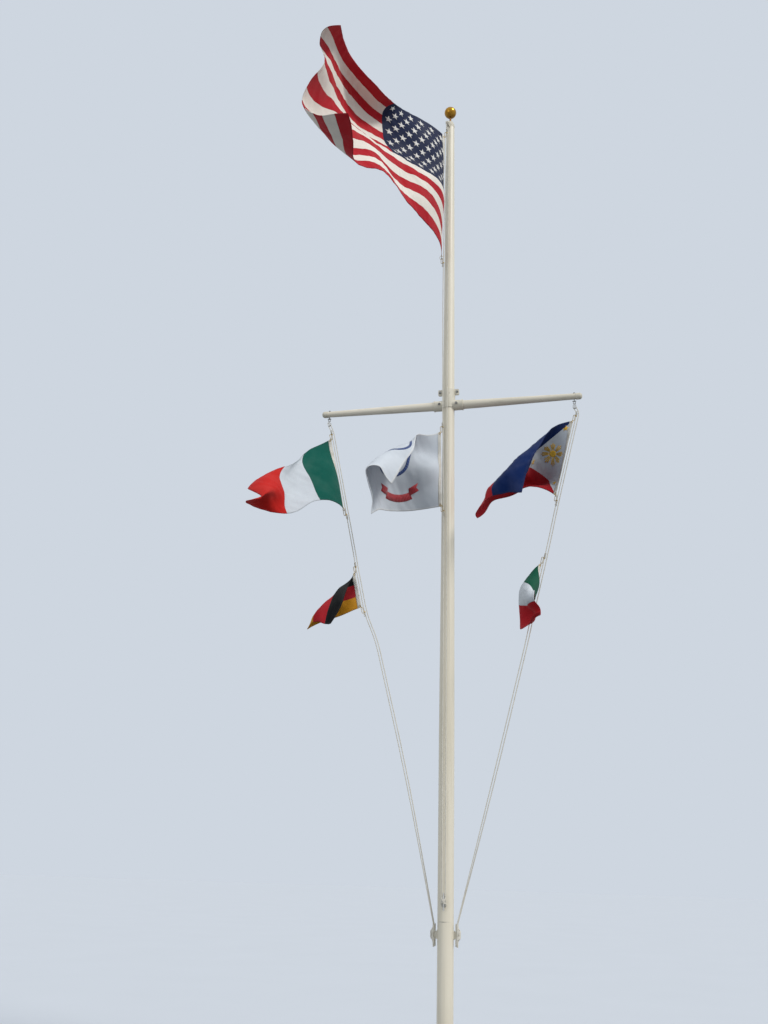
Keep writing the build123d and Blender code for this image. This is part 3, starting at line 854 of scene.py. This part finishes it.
paint = pole_paint()
arms = arm_paint()
castings = cast_paint()
cast_metal = worn_metal("cast_aluminium", (206, 203, 196), (150, 147, 140), 0.42)
bronze = worn_metal("stem_bronze", (140, 96, 52), (92, 62, 34), 0.45)
block_metal = worn_metal("block_steel", (214, 213, 210), (150, 148, 142), 0.3)
sheave_metal = worn_metal("sheave_metal", (176, 175, 172), (118, 115, 108), 0.38)
galvanised = worn_metal("galvanised_steel", (150, 149, 146), (92, 88, 82), 0.48)
brass = worn_metal("snap_brass", (190, 166, 118), (112, 96, 66), 0.42)
spun = spun_metal()
gold = gold_metal()
white_line = braid("white_braid", line_white, line_shade)
tape = canvas_band()


def finish_nodes(material, names):
    for name in names:
        slots = nodes[name].data.materials
        slots.clear()
        slots.append(material)


def both(*names):
    return [name + "_" + side for name in names for side in ("left", "right")]


finish_nodes(paint, ["pole_tube"])
finish_nodes(arms, both("yardarm"))
finish_nodes(castings, ["crosstree_front", "crosstree_rear", "truck_cap"])
finish_nodes(castings, both("yardarm_cap", "cleat"))
finish_nodes(cast_metal, ["cleat_front"])
finish_nodes(spun, ["flash_collar"])
finish_nodes(block_metal, both("block_shell"))
finish_nodes(sheave_metal, ["truck_sheave"] + both("block_sheave"))
bolts = both("crosstree_bolt_upper", "crosstree_bolt_lower", "eye_bolt", "shackle")
finish_nodes(galvanised, bolts + ["truck_axle"])
finish_nodes(gold, ["finial_ball"])
finish_nodes(bronze, ["finial_stem"])
finish_nodes(white_line, ["halyard_main", "halyard_left", "halyard_right"])


# Flags: points given by how far they lie below the pole's top, the arms or an eye


def below_pole_top(x, y, drop):
    return Vector((x, y, pole_height - drop))


def below_arms(x, y, drop):
    return Vector((x, y, arm_height - drop))


def below_left_eye(inward, drop):
    return Vector((inward - eye_offset, 0, arm_height - drop))


def below_right_eye(inward, drop):
    return Vector((eye_offset - inward, 0, arm_height - drop))


# The top and bottom corner of each flag at its hoist
hoists = {
    "ensign": (below_pole_top(-0.03, -0.077, 0.145), below_pole_top(-0.054, -0.075, 1.345)),
    "white": (below_arms(-0.046, -0.072, 0.247), below_arms(-0.035, -0.07, 0.857)),
    "left_top": (below_left_eye(0.021, 0.214), below_left_eye(0.151, 0.823)),
    "left_low": (below_left_eye(0.257, 1.322), below_left_eye(0.319, 1.6)),
    "right_top": (below_right_eye(0.014, 0.2), below_right_eye(0.16, 0.798)),
    "right_low": (below_right_eye(0.278, 1.31), below_right_eye(0.345, 1.577)),
}

# Headings and rises of the threads in degrees: one row per thread from the top hem to the
# bottom one, values from hoist to fly. Heading 0 flies to the left, 90 towards the viewer
ensign_headings = (
    (55, 55, 80, 75, 65, 95, 105),
    (90, 55, 35, 65, 85, 90, 80),
    (100, 55, 40, 55, 85, 90, 105),
    (115, 65, 50, 60, 65, 60, 90),
    (100, 80, 50, 70, 50, 80, 85),
    (105, 75, 70, 75, 55, 105, 85),
)
ensign_rises = (
    (15, -5, -25, -10, 10, -10, -35),
    (5, -5, 10, 5, -15, -10, -10),
    (10, -5, 10, 0, -5, -10, -5),
    (25, 0, 5, 0, -10, -20, 5),
    (20, 10, -5, 10, -25, -10, 15),
    (20, 5, 5, 10, -20, 5, 20),
)
white_headings = (
    (10, 65, 95, 65, 70, 65),
    (-10, 40, 70, 75, 90, 90),
    (60, 10, 35, 75, 85, 110),
    (15, 5, 40, 80, 95, 115),
    (-20, 0, 45, 85, 90, 90),
)
white_rises = (
    (-25, -15, -60, -50, -55, -55),
    (-15, 0, -15, -35, -40, -45),
    (-5, -10, -5, -20, -25, -30),
    (-5, -10, -5, -20, -25, -30),
    (0, -5, -10, -15, -25, -25),
)
left_top_headings = (
    (-20, 65, 80, 20, 0),
    (95, 30, 55, 85, 35),
    (95, 55, 40, 20, -15),
)
left_top_rises = (
    (-20, -40, -40, -25, -55),
    (5, -30, -40, -10, -60),
    (10, -5, -40, 5, 30),
)
left_low_headings = (
    (45, 55, 30, 15, 5),
    (-25, 35, 45, 30, 25),
    (-25, 5, 35, 45, 40),
    (-5, -5, 5, 30, 45),
    (-5, -10, -5, 5, 20),
)
left_low_rises = (
    (-65, -65, -75, -65, -55),
    (-20, -25, -80, -75, -75),
    (-25, -10, -30, -65, -100),
    (-20, -15, -15, -30, -100),
    (-15, -20, -15, -20, -35),
)
right_top_headings = (
    (-5, 50, 55, 60, 50, 40),
    (-50, 20, 50, 60, 55, 50),
    (-65, -10, 45, 45, 50, 60),
    (-65, -45, 20, 45, 55, 70),
    (-15, -25, -45, 40, 70, 50),
)
right_top_rises = (
    (-5, -40, -55, -50, -70, -75),
    (20, -15, -40, -35, -65, -115),
    (15, 10, -65, -15, -25, -115),
    (15, 5, 0, -20, -40, -75),
    (45, 20, -10, -20, -50, -30),
)
right_low_headings = (
    (25, -5, 0, 55, 95),
    (135, 40, 35, 30, 65),
    (110, 95, 90, 55, 115),
)
right_low_rises = (
    (-35, -55, -75, -90, -95),
    (-20, -20, -80, -135, 10),
    (-40, 20, -30, -150, 80),
)

# Rows and steps of a flag's mesh, and the depth of its ripples in metres
ensign_mesh = (104, 160, 0.009)
large_mesh = (72, 108, 0.007)
small_mesh = (54, 81, 0.0045)


def make_flag(name, fly, headings, rises, mesh):
    return Cloth(name, hoists[name], fly, headings, rises, *mesh)


ensign = make_flag("ensign", ensign_fly, ensign_headings, ensign_rises, ensign_mesh)
white = make_flag("white", large_fly, white_headings, white_rises, large_mesh)
left_top = make_flag("left_top", large_fly, left_top_headings, left_top_rises, large_mesh)
left_low = make_flag("left_low", small_fly, left_low_headings, left_low_rises, small_mesh)
right_top = make_flag("right_top", large_fly, right_top_headings, right_top_rises, large_mesh)
right_low = make_flag("right_low", limp_fly, right_low_headings, right_low_rises, small_mesh)


def canton_stars(cloth):
    # Long and short rows by turns, on an even grid
    shapes = []
    width = canton_share * cloth.fly
    depth = canton_stripes / stripe_count * cloth.hoist
    outline = star(5, 0.0308 * cloth.hoist, 0.0118 * cloth.hoist)
    for row in range(canton_star_rows):
        short = row % 2
        for column in range(canton_long_row - short):
            x = width * (1 + 2 * column + short) / (2 * canton_long_row)
            y = depth * (row + 1) / (canton_star_rows + 1)
            shapes.append((outline, (x, y), 2))
    return shapes


def sun_and_stars(cloth):
    # A gold sun with eight groups of three rays, and three small stars near the corners
    size = cloth.hoist
    middle = (0.38 * wedge_share * cloth.fly, 0.44 * size)
    shapes = [(disc(0.046 * size), middle, 3)]
    for k in range(8):
        for lean, reach in ((-0.17, 0.092), (0, 0.108), (0.17, 0.092)):
            turn = math.pi * k / 4 + lean
            x = middle[0] + reach * size * math.sin(turn)
            y = middle[1] - reach * size * math.cos(turn)
            shapes.append((ray(0.088 * size, 0.015 * size, turn), (x, y), 2))
    inset = 0.075 * size
    outline = star(5, 0.045 * size, 0.018 * size)
    shapes.append((outline, (inset, inset * 1.25), 2))
    shapes.append((outline, (1.3 * inset, size - inset * 2.2), 2))
    shapes.append((outline, (wedge_share * cloth.fly - 1.2 * inset, size / 2), 2))
    return shapes


def compass_rose(cloth):
    # A plain eight-pointed rose inside a narrow ring
    size = cloth.hoist
    middle = (0.45 * cloth.fly, 0.315 * size)
    shapes = [(star(4, 0.17 * size, 0.045 * size), middle, 4)]
    shapes.append((star(4, 0.11 * size, 0.038 * size, math.pi / 4), middle, 3))
    return shapes + arc_band(middle, 0.255 * size, 0.018 * size, -math.pi, math.pi, 54)


def arc_band(middle, bend, half, start, end, count):
    # A curved band in short pieces. The angle is nought straight down from the middle
    inner, outer = bend - half, bend + half
    shapes = []
    for k in range(count):
        first = start + (end - start) * k / count
        last = start + (end - start) * (k + 1) / count
        corners = []
        for angle, reach in ((first, inner), (first, outer), (last, outer), (last, inner)):
            x = middle[0] + reach * math.sin(angle)
            y = middle[1] + reach * math.cos(angle)
            corners.append((x, y))
        shapes.append(outlined(corners))
    return shapes


def outlined(corners):
    # Corners on the cloth, as an outline round their own middle
    x = sum(corner[0] for corner in corners) / len(corners)
    y = sum(corner[1] for corner in corners) / len(corners)
    return [(corner[0] - x, corner[1] - y) for corner in corners], (x, y), 1


def plain_ribbon(cloth):
    # A bare ribbon that hangs in a bow under the rose, with a notched tail behind each end
    size = cloth.hoist
    bend = 0.46 * size
    half = 0.048 * size
    sweep = math.radians(22)
    middle = (emblem_share * cloth.fly, 0.83 * size - bend)
    shapes = arc_band(middle, bend, half, -sweep, sweep, 18)
    for side in (-1, 1):
        x = middle[0] + side * bend * math.sin(sweep)
        y = middle[1] + bend * math.cos(sweep)
        tail = [
            (x - side * 0.03 * size, y - 0.085 * size),
            (x + side * 0.09 * size, y - 0.135 * size),
            (x + side * 0.07 * size, y - 0.085 * size),
            (x + side * 0.105 * size, y - 0.045 * size),
            (x - side * 0.015 * size, y + 0.005 * size),
        ]
        shapes.append(outlined(tail))
    return shapes


def corner_places(cloth, width):
    # Each corner at the hoist: its name, place, way along the line, and grommet's u and v
    inset = grommet_inset * width
    u = inset / cloth.fly
    yield "top", cloth.top, 1, u, inset / cloth.hoist
    yield "bottom", cloth.bottom, -1, u, (cloth.hoist - inset) / cloth.hoist


def grommets(cloth, width):
    made = []
    for word, _, _, u, v in corner_places(cloth, width):
        axis = cloth.at(u, v, 1.0) - cloth.at(u, v)
        for part, side in (("back", -1), ("front", 1)):
            centre = cloth.at(u, v, side * 0.5 * header_thick)
            name = "grommet_" + cloth.name + "_" + word + "_" + part
            made.append(torus_mesh(name, centre, axis, grommet_radius, grommet_wire, brass))
    return made


def corner_rings(cloth, width):
    # A small ring joins each snap's link to the grommet
    along = (cloth.top - cloth.bottom).normalized()
    for word, corner, way, u, v in corner_places(cloth, width):
        hole = cloth.at(u, v)
        hook = corner + along * way * ring_hook
        axis = (hook - hole).cross(cloth.at(u, v, 1.0) - hole)
        radius = (hook - hole).length / 2
        name = "ring_" + cloth.name + "_" + word
        torus_mesh(name, (hole + hook) / 2, axis, radius, ring_wire, brass)


def knots(cloth, width):
    # The line is hitched round itself just past each snap's eye
    along = (cloth.top - cloth.bottom).normalized()
    across = Vector((hoist_gap, 0, 0))
    side = along.orthogonal().normalized()
    other = along.cross(side)
    for word, corner, way, _, _ in corner_places(cloth, width):
        eye = corner + across + along * way * snap_drop
        start = eye + along * way * (0.5 * snap_eye_height + knot_gap)
        points = []
        for k in range(knot_turns * knot_steps + 1):
            turn = 2 * math.pi * k / knot_steps
            out = side * math.cos(turn) + other * math.sin(turn)
            rise = knot_rise * k * way
            points.append(start + along * rise + out * (line_radius + knot_reach))
        rope_curve("knot_" + cloth.name + "_" + word, [points], knot_radius, white_line)


def dress(cloth, material, width, emblems=()):
    sheet = cloth.sheet(material)
    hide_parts("flag_" + cloth.name)
    parts = [cloth.header(width, tape)]
    parts += grommets(cloth, width)
    for name, shapes, thread in emblems:
        parts.append(cloth.emblem(name, shapes, thread))
    corner_rings(cloth, width)
    knots(cloth, width)
    finish_nodes(brass, ["snaps_" + cloth.name])


gold_thread = emblem_thread("gold_thread", sun_gold)
white_thread = emblem_thread("white_thread", star_white)
blue_thread = emblem_thread("blue_thread", rose_blue)
red_thread = emblem_thread("red_thread", band_red)

ensign_emblems = [("stars_ensign", canton_stars(ensign), white_thread)]
dress(ensign, ensign_cloth(ensign), header_wide, ensign_emblems)

white_emblems = [
    ("rose_white", compass_rose(white), blue_thread),
    ("ribbon_white", plain_ribbon(white), red_thread),
]
dress(white, plain_cloth("plain_white_cloth", white, plain_white), header_narrow, white_emblems)

left_top_colours = (tri_green, tri_white, tri_red)
dress(left_top, three_bands("left_top_cloth", left_top, "u", left_top_colours), header_narrow)

left_low_colours = (black, low_red, low_gold)
dress(left_low, three_bands("left_low_cloth", left_low, "v", left_low_colours), header_small)

right_top_emblems = [("sun_right_top", sun_and_stars(right_top), gold_thread)]
dress(right_top, wedge_cloth(right_top), header_narrow, right_top_emblems)

right_low_colours = (low_green, tri_white, sun_red)
dress(right_low, three_bands("right_low_cloth", right_low, "u", right_low_colours), header_small)


# Line made up in figures of eight on the cleats


def belay(turn, height, length, share, turns):
    # Two strands that cross in front of the bar and pass behind the horns
    bar = pole_foot_radius + cleat_stand
    reach = share * length / 2
    horn = 0.3 * reach
    step = 1.8 * line_radius
    wide = belay_spread
    angle = math.radians(turn)

    def place(out, across, up):
        out += bar
        x = out * math.cos(angle) - across * math.sin(angle)
        y = out * math.sin(angle) + across * math.cos(angle)
        return Vector((x, y, height + up))

    splines = []
    for strand, side in enumerate((1, -1)):
        lift = belay_lift * strand
        # How far out from the bar, across it and up from its middle each point lies
        path = [(0, wide, reach), (0.003, wide + 0.002, horn)]
        for k in range(strand, turns, 2):
            low = -(horn + step * (turns - 1 - k))
            high = horn + step * k
            middle = (low + high) / 2
            path += [
                (0.002, wide + 0.004, 0.6 * low),
                (-0.008, wide, low),
                (-0.0125, 0, low - 0.003),
                (-0.006, -wide, low),
                (0.009 + lift, -0.008, 0.3 * low),
                (0.0135 + lift, 0, middle),
                (0.009 + lift, 0.008, 0.3 * high),
                (-0.006, wide, high),
                (-0.0125, 0, high + 0.003),
                (-0.008, -wide, high),
                (0.012 + lift, -0.009, 0.35 * high),
                (0.017 + lift, 0, middle),
                (0.012 + lift, 0.009, 0.35 * low),
            ]
        path += [(-0.004, wide, -0.5 * reach), (-0.01, 0.004, -0.6 * reach)]
        splines.append([place(out, side * across, up) for out, across, up in path])
    return splines


# Which way each cleat faces, its height and length, the share wound, and the turns
cleats = {
    "left": (180, cleat_side_height, cleat_side_length, side_hank_share, 8),
    "right": (0, cleat_side_height, cleat_side_length, side_hank_share, 8),
    "front": (-90, cleat_front_height, cleat_front_length, front_hank_share, 4),
}
for word, cleat in cleats.items():
    wound = rope_curve("belay_" + word, belay(*cleat), line_radius, white_line)
    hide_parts("hank_" + word)


# Floor, backdrop and light


def add_floor():
    reach = floor_reach
    corners = [(-reach, -reach, 0), (reach, -reach, 0), (reach, reach, 0), (-reach, reach, 0)]
    mesh = bpy.data.meshes.new("floor")
    mesh.from_pydata(corners, [], [(0, 1, 2, 3)])
    floor = Shader("floor_paint", 0.8)
    pale = floor.mix(floor.noise(0.8, 3.0), linear(floor_cool), linear(floor_pale))
    # It sends less light up to the object than a pale floor would
    floor.colour(floor.mix(seen_directly(floor.tree), linear(floor_under), pale))
    mesh.materials.append(floor.material)
    made = bpy.data.objects.new("floor", mesh)
    bpy.context.scene.collection.objects.link(made)


def add_world():
    # Plain soft light from all round, and a pale backdrop where the camera and metal see it
    world = bpy.data.worlds.new("studio")
    bpy.context.scene.world = world
    world.use_nodes = True
    tree = world.node_tree
    light = tree.nodes["Background"]
    light.inputs["Color"].default_value = (*sky_light, 1)
    light.inputs["Strength"].default_value = sky_strength
    backdrop = tree.nodes.new("ShaderNodeBackground")
    backdrop.inputs["Color"].default_value = linear(backdrop_blue)
    backdrop.inputs["Strength"].default_value = 1.0
    choose = tree.nodes.new("ShaderNodeMixShader")
    tree.links.new(seen_directly(tree), choose.inputs[0])
    tree.links.new(light.outputs[0], choose.inputs[1])
    tree.links.new(backdrop.outputs[0], choose.inputs[2])
    tree.links.new(choose.outputs[0], tree.nodes["World Output"].inputs["Surface"])


def add_sun(name, azimuth, elevation, strength, softness, colour):
    # Azimuth 0 is in front, 90 at the right. The softness is the lamp's width in degrees
    data = bpy.data.lights.new(name, "SUN")
    data.energy = strength
    data.angle = math.radians(softness)
    data.color = colour
    lamp = bpy.data.objects.new(name, data)
    bpy.context.scene.collection.objects.link(lamp)
    a = math.radians(azimuth)
    e = math.radians(elevation)
    towards = Vector((math.sin(a) * math.cos(e), -math.cos(a) * math.cos(e), math.sin(e)))
    lamp.matrix_world = towards.to_track_quat("Z", "Y").to_matrix().to_4x4()


add_floor()
add_world()
add_sun("key_light", azimuth=62, elevation=42, strength=1.85, softness=14, colour=warm_light)
add_sun("fill_light", azimuth=-25, elevation=8, strength=0.3, softness=25, colour=cool_light)

bpy.context.scene.view_settings.view_transform = "Standard"
